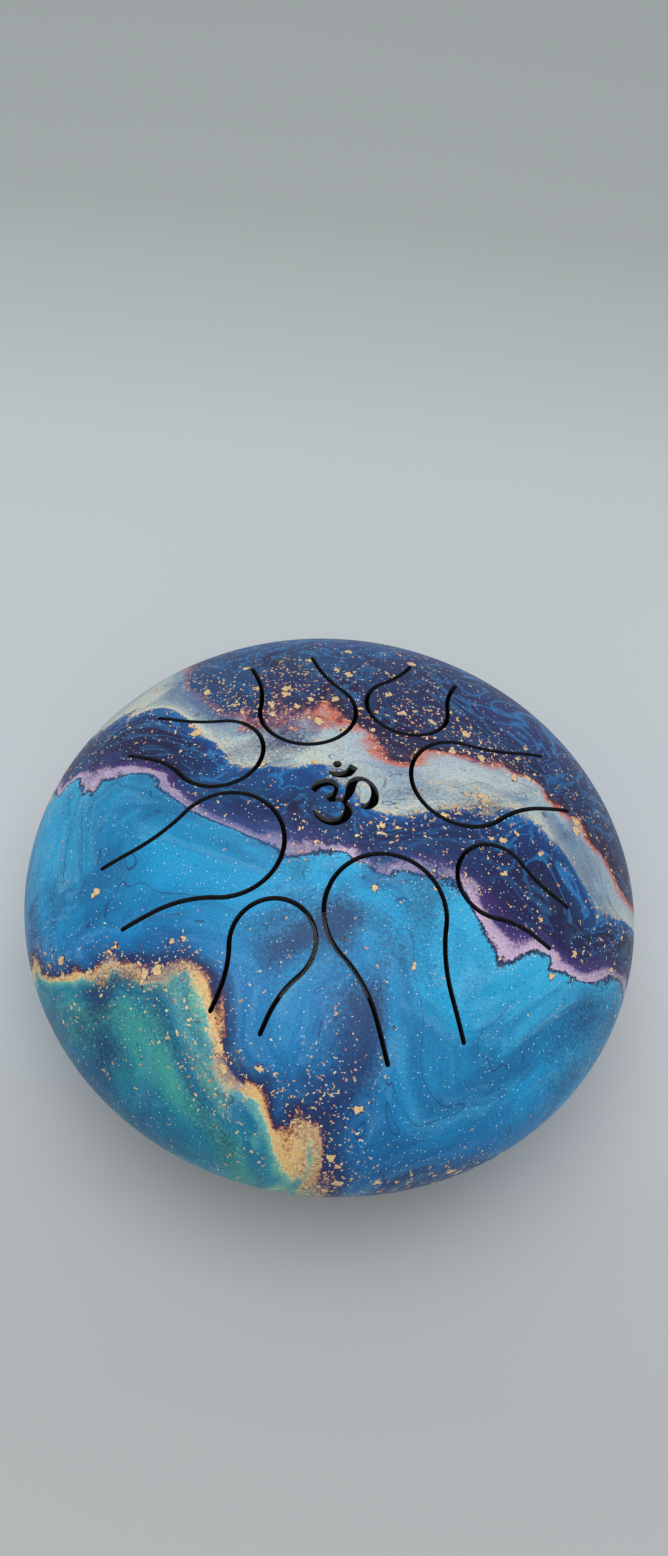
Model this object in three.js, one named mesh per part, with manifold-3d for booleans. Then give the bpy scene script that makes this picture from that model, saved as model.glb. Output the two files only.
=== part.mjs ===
// A small steel tongue drum. Two pressed steel bowls are welded together at their rims, and the seam is
// ground flush. Eight tongues and an Om sign are cut in the top bowl, a round sound port is cut in the
// bottom bowl, and the drum stands on three rubber feet that are screwed on from below.
//
// Millimetres, +Z up. The origin lies on the surface that the feet stand on, under the drum's centre.
// The player sits at -Y.

import * as THREE from 'three';
import { mergeVertices } from 'three/addons/utils/BufferGeometryUtils.js';
import Module from 'manifold-3d';

const wasm = await Module();
wasm.setup();

// Bowls
const drumRadius = 76;
const steelThickness = 1.8;
const topRise = 44; // from the rim up to the middle of the top bowl
const bottomRise = 36; // from the rim down to the middle of the bottom bowl
const floorClearance = 3.5; // under the middle of the bottom bowl
const soundPortRadius = 16;
const roundSegments = 56; // facets round a bowl
const profileSteps = 11; // facets from a bowl's middle to its rim

// Clearance between pieces that touch on the real drum
const seatGap = 0.3;

// Weld in the bevels of the two rims
const rimBevel = 1.0;

// Tongues. Each is a round head on a narrower neck, bounded by a slot that starts and ends at the root.
// They share a round field of the top bowl, inside a plain band at the rim.
const plainBand = 18.5;
const slotWidth = 1.2;
const neckSweep = 2.35; // radius of the sweep from head to neck, in head radii
const arcSteps = 7; // facets in a quarter or so of a head, and in each sweep
// Large and small tongues take turns, anticlockwise from the front right, and the longest sounds lowest.
// Each has its angle from +X in degrees and, in hundredths of the field's radius, the distances of its
// tip and its root from the middle, the radius of its head and half the width of its neck.
const tongues = [
  { angle: -67.5, tip: 25, root: 100, head: 24, neck: 15.5 },
  { angle: -21, tip: 50.5, root: 95.5, head: 15.5, neck: 10.5 },
  { angle: 22, tip: 29.5, root: 95.5, head: 21.5, neck: 14.5 },
  { angle: 67.5, tip: 44.5, root: 92, head: 17.5, neck: 11 },
  { angle: 110.5, tip: 31.5, root: 88.5, head: 20, neck: 13.5 },
  { angle: 155.5, tip: 40, root: 94, head: 18, neck: 11.5 },
  { angle: 204, tip: 27, root: 96.5, head: 23, neck: 14.5 },
  { angle: 248.5, tip: 48, root: 95, head: 16.5, neck: 10.5 },
];

// Om sign, cut through the middle of the top bowl as strokes of a broad pen
const penWidth = 2.1;
const signTurn = -3.5; // degrees that the sign leans off the drum's +Y
const strokeSteps = 3; // facets between two points of a stroke
const dotSteps = 12;
// Points along each stroke: x, y and the stroke's width there, all in pen widths
const upperBowl = [
  [-3.8, 1.0, 0.9], [-3.15, 1.9, 1.0], [-2.1, 2.4, 1.0], [-1.32, 2.05, 0.65],
  [-1.2, 1.45, 0.5], [-1.5, 0.65, 0.8], [-2.05, 0.05, 1.05],
];
const lowerBowl = [
  [-1.75, -0.06, 0.45], [-1.0, 0.2, 0.6], [-0.35, 0.2, 0.6], [0.25, -0.35, 0.75], [0.42, -1.15, 1.0],
  [0.1, -2.0, 1.0], [-0.7, -2.6, 1.0], [-1.7, -2.7, 0.85], [-2.7, -2.25, 0.6], [-3.45, -1.5, 0.2],
];
const curl = [
  [-0.2, 0.2, 0.5], [0.15, 0.9, 0.8], [0.33, 1.8, 1.05], [0.42, 2.6, 1.05], [0.85, 3.25, 0.8],
  [1.6, 3.42, 0.55], [2.35, 3.05, 0.55], [2.85, 2.35, 0.7], [3.08, 1.45, 0.9], [2.95, 0.5, 1.0],
  [2.4, -0.1, 0.85], [1.7, -0.15, 0.55],
];
const crescent = [
  [-2.3, 3.85, 0.2], [-1.8, 3.6, 0.65], [-1.05, 3.6, 0.85], [-0.2, 3.95, 1.0], [0.4, 5.1, 1.0],
];
const dotPlace = [-1.5, 5.0];
const dotRadius = 0.48; // in pen widths

// Feet and their screws
const footCount = 3;
const firstFootAngle = -90; // degrees from +X
const footCircleRadius = 40;
const footRadius = 9;
const footTaper = 1.2; // how much narrower the sole is than the foot
const footRounding = 0.8;
const footPocketDepth = 5.2; // the pocket in the sole that takes the washer and the screw's head
const footSegments = 24;
const screwRadius = 2;
const screwHeadRadius = 4;
const screwHeadHeight = 2.2;
const screwCrownHeight = 1.2; // the domed part of the head
const screwCrownFlat = 2.4; // radius of the crown's flat middle
const screwPoint = 1; // chamfer at the screw's end
const screwReach = 3; // past the inside of the bottom bowl
const washerRadius = 4.5;
const washerThickness = 1;
const screwSegments = 12;

// Finishes, each with the colour that the eye takes from the drum at a glance
const printedLacquer = { color: 0x3d7fae, roughness: 0.35, metalness: 0.0 };
const groundWeld = { color: 0x3b5f95, roughness: 0.4, metalness: 0.0 };
const blackRubber = { color: 0x1b1b1c, roughness: 0.8, metalness: 0.0 };
const zincPlate = { color: 0xb9bcc0, roughness: 0.35, metalness: 1.0 };

// Heights and clearances that follow from the sizes above
const rimHeight = floorClearance + bottomRise;
const fieldRadius = drumRadius - plainBand;
const cutMargin = 2; // how far a cutting tool runs past the piece it cuts
const boreRadius = screwRadius + seatGap;
const pocketRadius = washerRadius + seatGap;
const washerTop = footPocketDepth - seatGap;
const washerUnderside = washerTop - washerThickness;
const headTop = washerUnderside - seatGap; // where the screw's head meets the washer

// Turns a closed three.js geometry into a solid that can be cut and joined. Where a lathe meets its
// axis, triangles lose a side as their corners merge, and are left out.
function solidFrom(geometry) {
  const bare = geometry.clone();
  bare.deleteAttribute('normal');
  bare.deleteAttribute('uv');
  const merged = mergeVertices(bare);
  const corners = merged.index.array;
  const kept = [];
  for (let i = 0; i < corners.length; i += 3) {
    const [a, b, c] = [corners[i], corners[i + 1], corners[i + 2]];
    if (a !== b && b !== c && c !== a) kept.push(a, b, c);
  }
  const vertProperties = new Float32Array(merged.attributes.position.array);
  const triVerts = new Uint32Array(kept);
  return new wasm.Manifold(new wasm.Mesh({ numProp: 3, vertProperties, triVerts }));
}

function geometryFrom(solid) {
  const mesh = solid.getMesh();
  const geometry = new THREE.BufferGeometry();
  geometry.setAttribute('position', new THREE.BufferAttribute(mesh.vertProperties, 3));
  geometry.setIndex(new THREE.BufferAttribute(mesh.triVerts, 1));
  geometry.computeVertexNormals();
  return geometry;
}

function namedMesh(name, solid, finish) {
  const mesh = new THREE.Mesh(geometryFrom(solid), new THREE.MeshStandardMaterial(finish));
  mesh.name = name;
  return mesh;
}

// Revolves a profile of [radius, height] points round the Z axis. The profile runs up the outside and
// down the inside, so that the faces point out.
function revolved(profile, segments) {
  const points = profile.map(([radius, height]) => new THREE.Vector2(radius, height));
  return solidFrom(new THREE.LatheGeometry(points, segments).rotateX(Math.PI / 2));
}

// Extrudes an outline in the plan view straight up from one height to another.
function raised(shape, fromHeight, toHeight, curveSegments) {
  const depth = toHeight - fromHeight;
  const geometry = new THREE.ExtrudeGeometry(shape, { depth, bevelEnabled: false, curveSegments });
  return solidFrom(geometry.translate(0, 0, fromHeight));
}

// A point on a bowl, which is half an ellipse turned round the axis. The angle runs from 0 at the middle
// to a quarter turn at the rim, and the point lies inwards from the outer face by the given depth.
function bowlPoint(rise, angle, depth) {
  const normal = new THREE.Vector2(rise * Math.sin(angle), drumRadius * Math.cos(angle)).normalize();
  return [drumRadius * Math.sin(angle) - depth * normal.x, rise * Math.cos(angle) - depth * normal.y];
}

// Height of a bowl's outer face over its rim, at a distance from the axis
function bowlHeight(rise, radius) {
  return rise * Math.sqrt(1 - (radius / drumRadius) ** 2);
}

// One bowl, open side down, with its rim at height 0. The rim stops half a gap short of the seam, and
// its outer edge is bevelled for the weld.
function bowl(rise) {
  const bevelTop = seatGap / 2 + rimBevel;
  const rimAngle = Math.acos(bevelTop / rise);
  const inner = [];
  const outer = [];
  for (let i = 0; i < profileSteps; i++) {
    const angle = (rimAngle * i) / profileSteps;
    inner.push(bowlPoint(rise, angle, steelThickness));
    outer.push(bowlPoint(rise, angle, 0));
  }
  const rim = [
    [drumRadius - steelThickness, seatGap / 2],
    [drumRadius - rimBevel, seatGap / 2],
    bowlPoint(rise, rimAngle, 0),
  ];
  return revolved([...inner, ...rim, ...outer.reverse()], roundSegments);
}

// Outline of a tongue that points at the drum's centre from its root on the +X side. Set off outwards
// from the middle of the slot, it is the window in the bowl; set off inwards, it is the tongue.
function tongueOutline(tongue, offset, rootGap) {
  const [tip, root, head, neck] = [tongue.tip, tongue.root, tongue.head, tongue.neck].map(inField);
  const headCentre = tip + head;
  const sweepRadius = head * neckSweep;
  const sweepAway = neck + sweepRadius; // of the sweep's centre from the tongue's middle line
  const reach = head + sweepRadius;
  const sweepPlace = headCentre + Math.sqrt(reach ** 2 - sweepAway ** 2);
  const meet = Math.asin(sweepAway / reach); // angle at which the head turns into the sweep
  const hollow = sweepRadius - offset;
  const outline = new THREE.Shape();
  outline.moveTo(root - rootGap, neck + offset);
  outline.lineTo(sweepPlace, neck + offset);
  outline.absarc(sweepPlace, sweepAway, hollow, -Math.PI / 2, meet - Math.PI, true);
  outline.absarc(headCentre, 0, head + offset, meet, Math.PI, false);
  outline.absarc(headCentre, 0, head + offset, Math.PI, 2 * Math.PI - meet, false);
  outline.absarc(sweepPlace, -sweepAway, hollow, Math.PI - meet, Math.PI / 2, true);
  outline.lineTo(root - rootGap, -neck - offset);
  outline.closePath();
  return outline;
}

function inField(hundredths) {
  return (fieldRadius * hundredths) / 100;
}

function tongueTool(tongue, offset, rootGap) {
  const outline = tongueOutline(tongue, offset, rootGap);
  return raised(outline, cutMargin, topRise + cutMargin, arcSteps).rotate([0, 0, tongue.angle]);
}

// A tongue, cut from the top bowl's wall and turned to lie along +X
function tonguePiece(tongue, wall) {
  return wall.intersect(tongueTool(tongue, -slotWidth / 2, seatGap)).rotate([0, 0, -tongue.angle]);
}

function topShell(wall) {
  const cutTongue = (shell, tongue) => shell.subtract(tongueTool(tongue, slotWidth / 2, 0));
  return tongues.reduce(cutTongue, wall.subtract(omSign()));
}

// One stroke of the pen: a smooth line through its points, with half the width set off to each side.
function penStroke(points) {
  const line = new THREE.CatmullRomCurve3(points.map((point) => new THREE.Vector3(...point)));
  const left = [];
  const right = [];
  const steps = (points.length - 1) * strokeSteps;
  for (let i = 0; i <= steps; i++) {
    const middle = line.getPoint(i / steps);
    const ahead = line.getTangent(i / steps);
    const across = new THREE.Vector2(-ahead.y, ahead.x).normalize().multiplyScalar(middle.z / 2);
    left.push(new THREE.Vector2(middle.x + across.x, middle.y + across.y).multiplyScalar(penWidth));
    right.push(new THREE.Vector2(middle.x - across.x, middle.y - across.y).multiplyScalar(penWidth));
  }
  return new THREE.Shape([...right, ...left.reverse()]);
}

// The Om sign as one cutting tool, as tall as the windows' tools
function omSign() {
  const dot = new THREE.Shape();
  dot.absarc(dotPlace[0] * penWidth, dotPlace[1] * penWidth, dotRadius * penWidth, 0, 2 * Math.PI, false);
  let sign = raised(dot, cutMargin, topRise + cutMargin, dotSteps);
  for (const stroke of [upperBowl, lowerBowl, curl, crescent]) {
    sign = sign.add(raised(penStroke(stroke), cutMargin, topRise + cutMargin, 1));
  }
  return sign.rotate([0, 0, signTurn]);
}

function footAngle(index) {
  return firstFootAngle + (360 / footCount) * index;
}

// The bottom bowl's outer face is this high over the floor, at a distance from the axis
function underside(radius) {
  return rimHeight - bowlHeight(bottomRise, radius);
}

// The bottom bowl, open side up, with the sound port and the three holes that the screws go into
function bottomShell() {
  let shell = bowl(bottomRise).rotate([180, 0, 0]).subtract(drill(soundPortRadius, roundSegments));
  const bore = drill(boreRadius, screwSegments).translate([footCircleRadius, 0, 0]);
  for (let i = 0; i < footCount; i++) {
    shell = shell.subtract(bore.rotate([0, 0, footAngle(i)]));
  }
  return shell;
}

// A round cutting tool that passes through the bottom bowl, up to the rim's height
function drill(radius, segments) {
  const lowest = -bottomRise - cutMargin;
  return revolved([[0, lowest], [radius, lowest], [radius, 0], [0, 0]], segments);
}

// The weld fills the V that the two bevelled rims leave between them, and is flush outside.
function rimWeld() {
  const reach = rimBevel + seatGap / 2 - seatGap * Math.SQRT2;
  const section = [
    [drumRadius - reach, 0],
    [drumRadius, -reach],
    [drumRadius, reach],
    [drumRadius - reach, 0],
  ];
  return revolved(section, roundSegments);
}

// A rubber foot at the footCircleRadius on the +X side. Its sole is level, and its top follows the bowl.
function foot() {
  const soleRadius = footRadius - footTaper;
  const topHeight = underside(footCircleRadius + footRadius) + cutMargin;
  const corner = footRounding * (1 - Math.SQRT1_2);
  const profile = [
    [pocketRadius, footPocketDepth],
    [pocketRadius, 0],
    [soleRadius - footRounding, 0],
    [soleRadius - corner, corner],
    [soleRadius, footRounding],
    [footRadius, footPocketDepth],
    [footRadius, topHeight],
    [boreRadius, topHeight],
    [boreRadius, footPocketDepth],
    [pocketRadius, footPocketDepth],
  ];
  const rubber = revolved(profile, footSegments).translate([footCircleRadius, 0, 0]);
  return rubber.subtract(bowlSpace());
}

// Everything above the bottom bowl's outer face, and a gap below it
function bowlSpace() {
  const profile = [];
  for (let i = 0; i <= profileSteps; i++) {
    const [radius, height] = bowlPoint(bottomRise, (Math.PI / 2) * (i / profileSteps), -seatGap);
    profile.push([radius, rimHeight - height]);
  }
  return revolved([...profile, [0, rimHeight]], roundSegments);
}

function footWasher() {
  const profile = [
    [boreRadius, washerUnderside],
    [washerRadius, washerUnderside],
    [washerRadius, washerTop],
    [boreRadius, washerTop],
    [boreRadius, washerUnderside],
  ];
  return revolved(profile, footSegments);
}

// The screw goes up through washer, foot and bowl, with its low domed head in the foot's pocket.
function footScrew() {
  const headUnderside = headTop - screwHeadHeight;
  const tip = underside(footCircleRadius) + steelThickness + screwReach;
  const profile = [
    [0, headUnderside],
    [screwCrownFlat, headUnderside],
    [screwHeadRadius, headUnderside + screwCrownHeight],
    [screwHeadRadius, headTop],
    [screwRadius, headTop],
    [screwRadius, tip - screwPoint],
    [screwRadius - screwPoint, tip],
    [0, tip],
  ];
  return revolved(profile, screwSegments);
}

const tongueDrum = new THREE.Group();
tongueDrum.name = 'tongue_drum';

const topWall = bowl(topRise);
const upperGroup = new THREE.Group();
upperGroup.position.z = rimHeight;
upperGroup.add(namedMesh('top_shell', topShell(topWall), printedLacquer));
tongues.forEach((tongue, index) => {
  const mesh = namedMesh(`tongue_${index + 1}`, tonguePiece(tongue, topWall), printedLacquer);
  mesh.rotation.z = THREE.MathUtils.degToRad(tongue.angle);
  upperGroup.add(mesh);
});
upperGroup.add(namedMesh('rim_weld', rimWeld(), groundWeld));
tongueDrum.add(upperGroup);

const lowerGroup = new THREE.Group();
const bottomMesh = namedMesh('bottom_shell', bottomShell(), printedLacquer);
bottomMesh.position.z = rimHeight;
lowerGroup.add(bottomMesh);
for (let i = 0; i < footCount; i++) {
  const footGroup = new THREE.Group();
  footGroup.rotation.z = THREE.MathUtils.degToRad(footAngle(i));
  footGroup.add(namedMesh(`foot_${i + 1}`, foot(), blackRubber));
  const washer = namedMesh(`foot_washer_${i + 1}`, footWasher(), zincPlate);
  const screw = namedMesh(`foot_screw_${i + 1}`, footScrew(), zincPlate);
  washer.position.x = footCircleRadius;
  screw.position.x = footCircleRadius;
  footGroup.add(washer, screw);
  lowerGroup.add(footGroup);
}
tongueDrum.add(lowerGroup);

export default tongueDrum;
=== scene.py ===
# A small steel tongue drum on a pale sheet, dressed for looks over its CAD model.
# The drum is written in millimetres and turned into metres when a mesh is made.

import bpy
import math
import numpy as np
from mathutils import Euler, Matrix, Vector, kdtree
from mathutils.geometry import delaunay_2d_cdt


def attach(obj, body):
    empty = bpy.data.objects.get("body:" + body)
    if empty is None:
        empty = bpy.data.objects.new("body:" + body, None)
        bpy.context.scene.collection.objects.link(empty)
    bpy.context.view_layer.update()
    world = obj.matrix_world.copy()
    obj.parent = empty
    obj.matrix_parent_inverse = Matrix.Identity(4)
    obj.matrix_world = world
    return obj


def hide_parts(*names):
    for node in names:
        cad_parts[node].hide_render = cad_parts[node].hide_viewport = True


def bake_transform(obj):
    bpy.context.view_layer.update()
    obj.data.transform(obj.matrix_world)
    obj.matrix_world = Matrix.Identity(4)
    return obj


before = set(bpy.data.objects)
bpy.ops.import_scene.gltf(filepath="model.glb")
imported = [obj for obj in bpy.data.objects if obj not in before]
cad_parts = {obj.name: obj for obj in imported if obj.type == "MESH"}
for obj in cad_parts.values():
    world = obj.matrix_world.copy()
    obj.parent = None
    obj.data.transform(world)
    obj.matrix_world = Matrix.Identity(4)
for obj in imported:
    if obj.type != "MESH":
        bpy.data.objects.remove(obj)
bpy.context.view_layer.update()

# The drum's own sizes, as in the CAD
drum = {
    "radius": 76.0,
    "steel": 1.8,
    "topRise": 44.0,
    "bottomRise": 36.0,
    "clearance": 3.5,
    "weldHalf": 1.15,      # half the height of the ground weld
    "weldDepth": 1.0,
    "seamHalf": 0.15,      # half the gap between the two rims
    "portRadius": 16.0,
    "cutRounding": 0.06,   # what the lacquer leaves of each cut edge
    "around": 256,         # facets round a bowl
    "topRows": (24, 36),   # points along a bowl's turned part, inside and outside
    "bottomRows": (60, 90),
    "weldRows": 5,         # points across each half of the weld
    "flatPart": 62.0,      # inside this radius the top is triangulated, outside it is turned
    "grid": 1.3,           # size of those triangles
}
rimHeight = drum["clearance"] + drum["bottomRise"]
mm = 0.001                         # of a metre
samePoint = 0.0001                 # points that lie closer together are one
smoothBend = math.radians(32)      # a turned profile is smooth where it bends by less
sharpEdge = math.radians(35)       # and the small pieces are sharp where they bend by more


# Geometry helpers

def ringOf(count):
    turns = np.arange(count) * 2 * math.pi / count
    return np.column_stack([np.cos(turns), np.sin(turns)])


def bowlHeight(rise, radius):
    # Of a bowl's outer face over the rim
    return rise * np.sqrt(np.clip(1 - (radius / drum["radius"]) ** 2, 0, 1))


def bowlNormal(rise, plan):
    # Outward normals of a bowl's outer face at points of the plan view
    height = bowlHeight(rise, np.hypot(plan[:, 0], plan[:, 1]))
    normal = np.column_stack([plan / drum["radius"] ** 2, height / rise ** 2])
    return normal / np.linalg.norm(normal, axis=1)[:, None]


def bowlArc(rise, fromAngle, toAngle, count, depth):
    # Radius and height along a bowl's section, at some depth in the steel
    angle = np.linspace(fromAngle, toAngle, count)
    across, up = rise * np.sin(angle), drum["radius"] * np.cos(angle)
    length = np.hypot(across, up)
    return np.column_stack([
        drum["radius"] * np.sin(angle) - depth * across / length,
        rise * np.cos(angle) - depth * up / length,
    ])


quarterTurn = np.linspace(0, math.pi / 2, 400)
topInside = bowlArc(drum["topRise"], 0, math.pi / 2, len(quarterTurn), drum["steel"])
bottomInside = bowlArc(drum["bottomRise"], 0, math.pi / 2, len(quarterTurn), drum["steel"])


def innerHeight(radius):
    return np.interp(radius, topInside[:, 0], topInside[:, 1])


class Skin:
    # Points, faces, the normal at each face's corner, and the material slot of each face
    def __init__(self):
        self.points, self.faces, self.normals, self.slots = [], [], [], []

    def add(self, points):
        start = len(self.points)
        self.points.extend(np.asarray(points, float).tolist())
        return start

    def face(self, corners, normals, slot):
        self.faces.append(corners)
        self.normals.append(normals)
        self.slots.append(slot)


def makePiece(name, skin, materials, ownNormals=True):
    # Joins the points that coincide and makes the piece, in metres
    near = kdtree.KDTree(len(skin.points))
    for index, point in enumerate(skin.points):
        near.insert(point, index)
    near.balance()
    first = [min(found[1] for found in near.find_range(point, samePoint)) for point in skin.points]
    kept, place = np.unique(first, return_inverse=True)
    points = np.array(skin.points)[kept]
    faces, normals, slots = [], [], []
    for corners, cornerNormals, slot in zip(skin.faces, skin.normals, skin.slots):
        face, faceNormals = [], []
        for corner, normal in zip(corners, cornerNormals):
            if place[corner] not in face:
                face.append(int(place[corner]))
                faceNormals.append(normal)
        if len(face) > 2:
            faces.append(face)
            normals.extend(faceNormals)
            slots.append(slot)
    mesh = bpy.data.meshes.new(name)
    mesh.from_pydata((points * mm).tolist(), [], faces)
    for material in materials:
        mesh.materials.append(material)
    mesh.polygons.foreach_set("material_index", slots)
    mesh.polygons.foreach_set("use_smooth", [True] * len(faces))
    if ownNormals:
        mesh.normals_split_custom_set([tuple(normal) for normal in normals])
    else:
        mesh.set_sharp_from_angle(angle=sharpEdge)
    mesh.update()
    made = bpy.data.objects.new(name, mesh)
    bpy.context.scene.collection.objects.link(made)
    return made


def turned(skin, profile, slots, around, centre=(0.0, 0.0), ends=(None, None), follow=None):
    # Turns a profile of (radius, height) round an upright axis, up the outside and down the inside;
    # ends are the normals to use at its two ends, and follow says which of its rings lie along the
    # underside of the bottom bowl
    profile = np.asarray(profile, float)
    along = np.diff(profile, axis=0)
    along /= np.linalg.norm(along, axis=1)[:, None]
    facing = np.column_stack([along[:, 1], -along[:, 0]])
    before, after = facing.copy(), facing.copy()
    for i in range(1, len(facing)):
        if facing[i - 1] @ facing[i] > math.cos(smoothBend):
            mean = facing[i - 1] + facing[i]
            mean /= np.linalg.norm(mean)
            before[i], after[i - 1] = mean, mean
    if ends[0] is not None:
        before[0] = ends[0]
    if ends[1] is not None:
        after[-1] = ends[1]
    circle = ringOf(around)
    starts = []
    for index, (radius, height) in enumerate(profile):
        ring = np.column_stack([circle * radius + centre, np.full(around, height)])
        if follow is not None and follow[index]:
            ring[:, 2] += underside(np.hypot(ring[:, 0], ring[:, 1]))
        starts.append(skin.add(ring))
    for i in range(len(facing)):
        lower = np.column_stack([circle * before[i][0], np.full(around, before[i][1])])
        upper = np.column_stack([circle * after[i][0], np.full(around, after[i][1])])
        for j in range(around):
            k = (j + 1) % around
            corners = [starts[i] + j, starts[i] + k, starts[i + 1] + k, starts[i + 1] + j]
            skin.face(corners, [lower[j], lower[k], upper[k], upper[j]], slots[i])


def underside(radius):
    # Height of the bottom bowl's outer face over the sheet
    return rimHeight - bowlHeight(drum["bottomRise"], radius)


def wound(points, polygon):
    # How often a polygon goes round each point
    x, y = points[:, 0][:, None], points[:, 1][:, None]
    a, b = polygon, np.roll(polygon, -1, axis=0)
    side = (b[:, 0] - a[:, 0]) * (y - a[:, 1]) - (x - a[:, 0]) * (b[:, 1] - a[:, 1])
    up = (a[:, 1] <= y) & (b[:, 1] > y) & (side > 0)
    down = (a[:, 1] > y) & (b[:, 1] <= y) & (side < 0)
    return up.sum(axis=1) - down.sum(axis=1)


# Finishes

def linear(hexColour):
    parts = [int(hexColour[i:i + 2], 16) / 255 for i in (0, 2, 4)]
    return [p / 12.92 if p <= 0.04045 else ((p + 0.055) / 1.055) ** 2.4 for p in parts] + [1.0]


def add(tree, kind, inputs=None, stops=(), **settings):
    # Adds a node; an input may be a value, a node (its output in use) or a (node, output) pair,
    # and stops are the (place, colour) pairs of a ramp
    made = tree.nodes.new("ShaderNode" + kind)
    for name, value in settings.items():
        setattr(made, name, value)
    for index, (spot, colour) in enumerate(stops):
        ramp = made.color_ramp.elements
        stop = ramp[index] if index < 2 else ramp.new(spot)
        stop.position, stop.color = spot, colour
    for name, value in (inputs or {}).items():
        if isinstance(value, bpy.types.Node):
            value = next(output for output in value.outputs if output.enabled)
        elif isinstance(value, tuple) and isinstance(value[0], bpy.types.Node):
            value = value[0].outputs[value[1]]
        if isinstance(value, bpy.types.NodeSocket):
            tree.links.new(value, made.inputs[name])
        else:
            made.inputs[name].default_value = value
    return made


def spread(stops):
    # Turns stops given by a length into places from 0 to 1; a value is a hex colour or a share
    low, high = stops[0][0], stops[-1][0]
    return [((where - low) / (high - low), linear(value) if isinstance(value, str) else [value] * 3 + [1.0])
            for where, value in stops]


def newMaterial(name):
    # Gives the material, its tree and shader, and the place on the piece in millimetres
    material = bpy.data.materials.new(name)
    material.use_nodes = True
    tree = material.node_tree
    place = add(tree, "TexCoord")
    inMm = add(tree, "VectorMath", {0: (place, "Object"), "Scale": 1 / mm}, operation="SCALE")
    return material, tree, tree.nodes["Principled BSDF"], inMm


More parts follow.
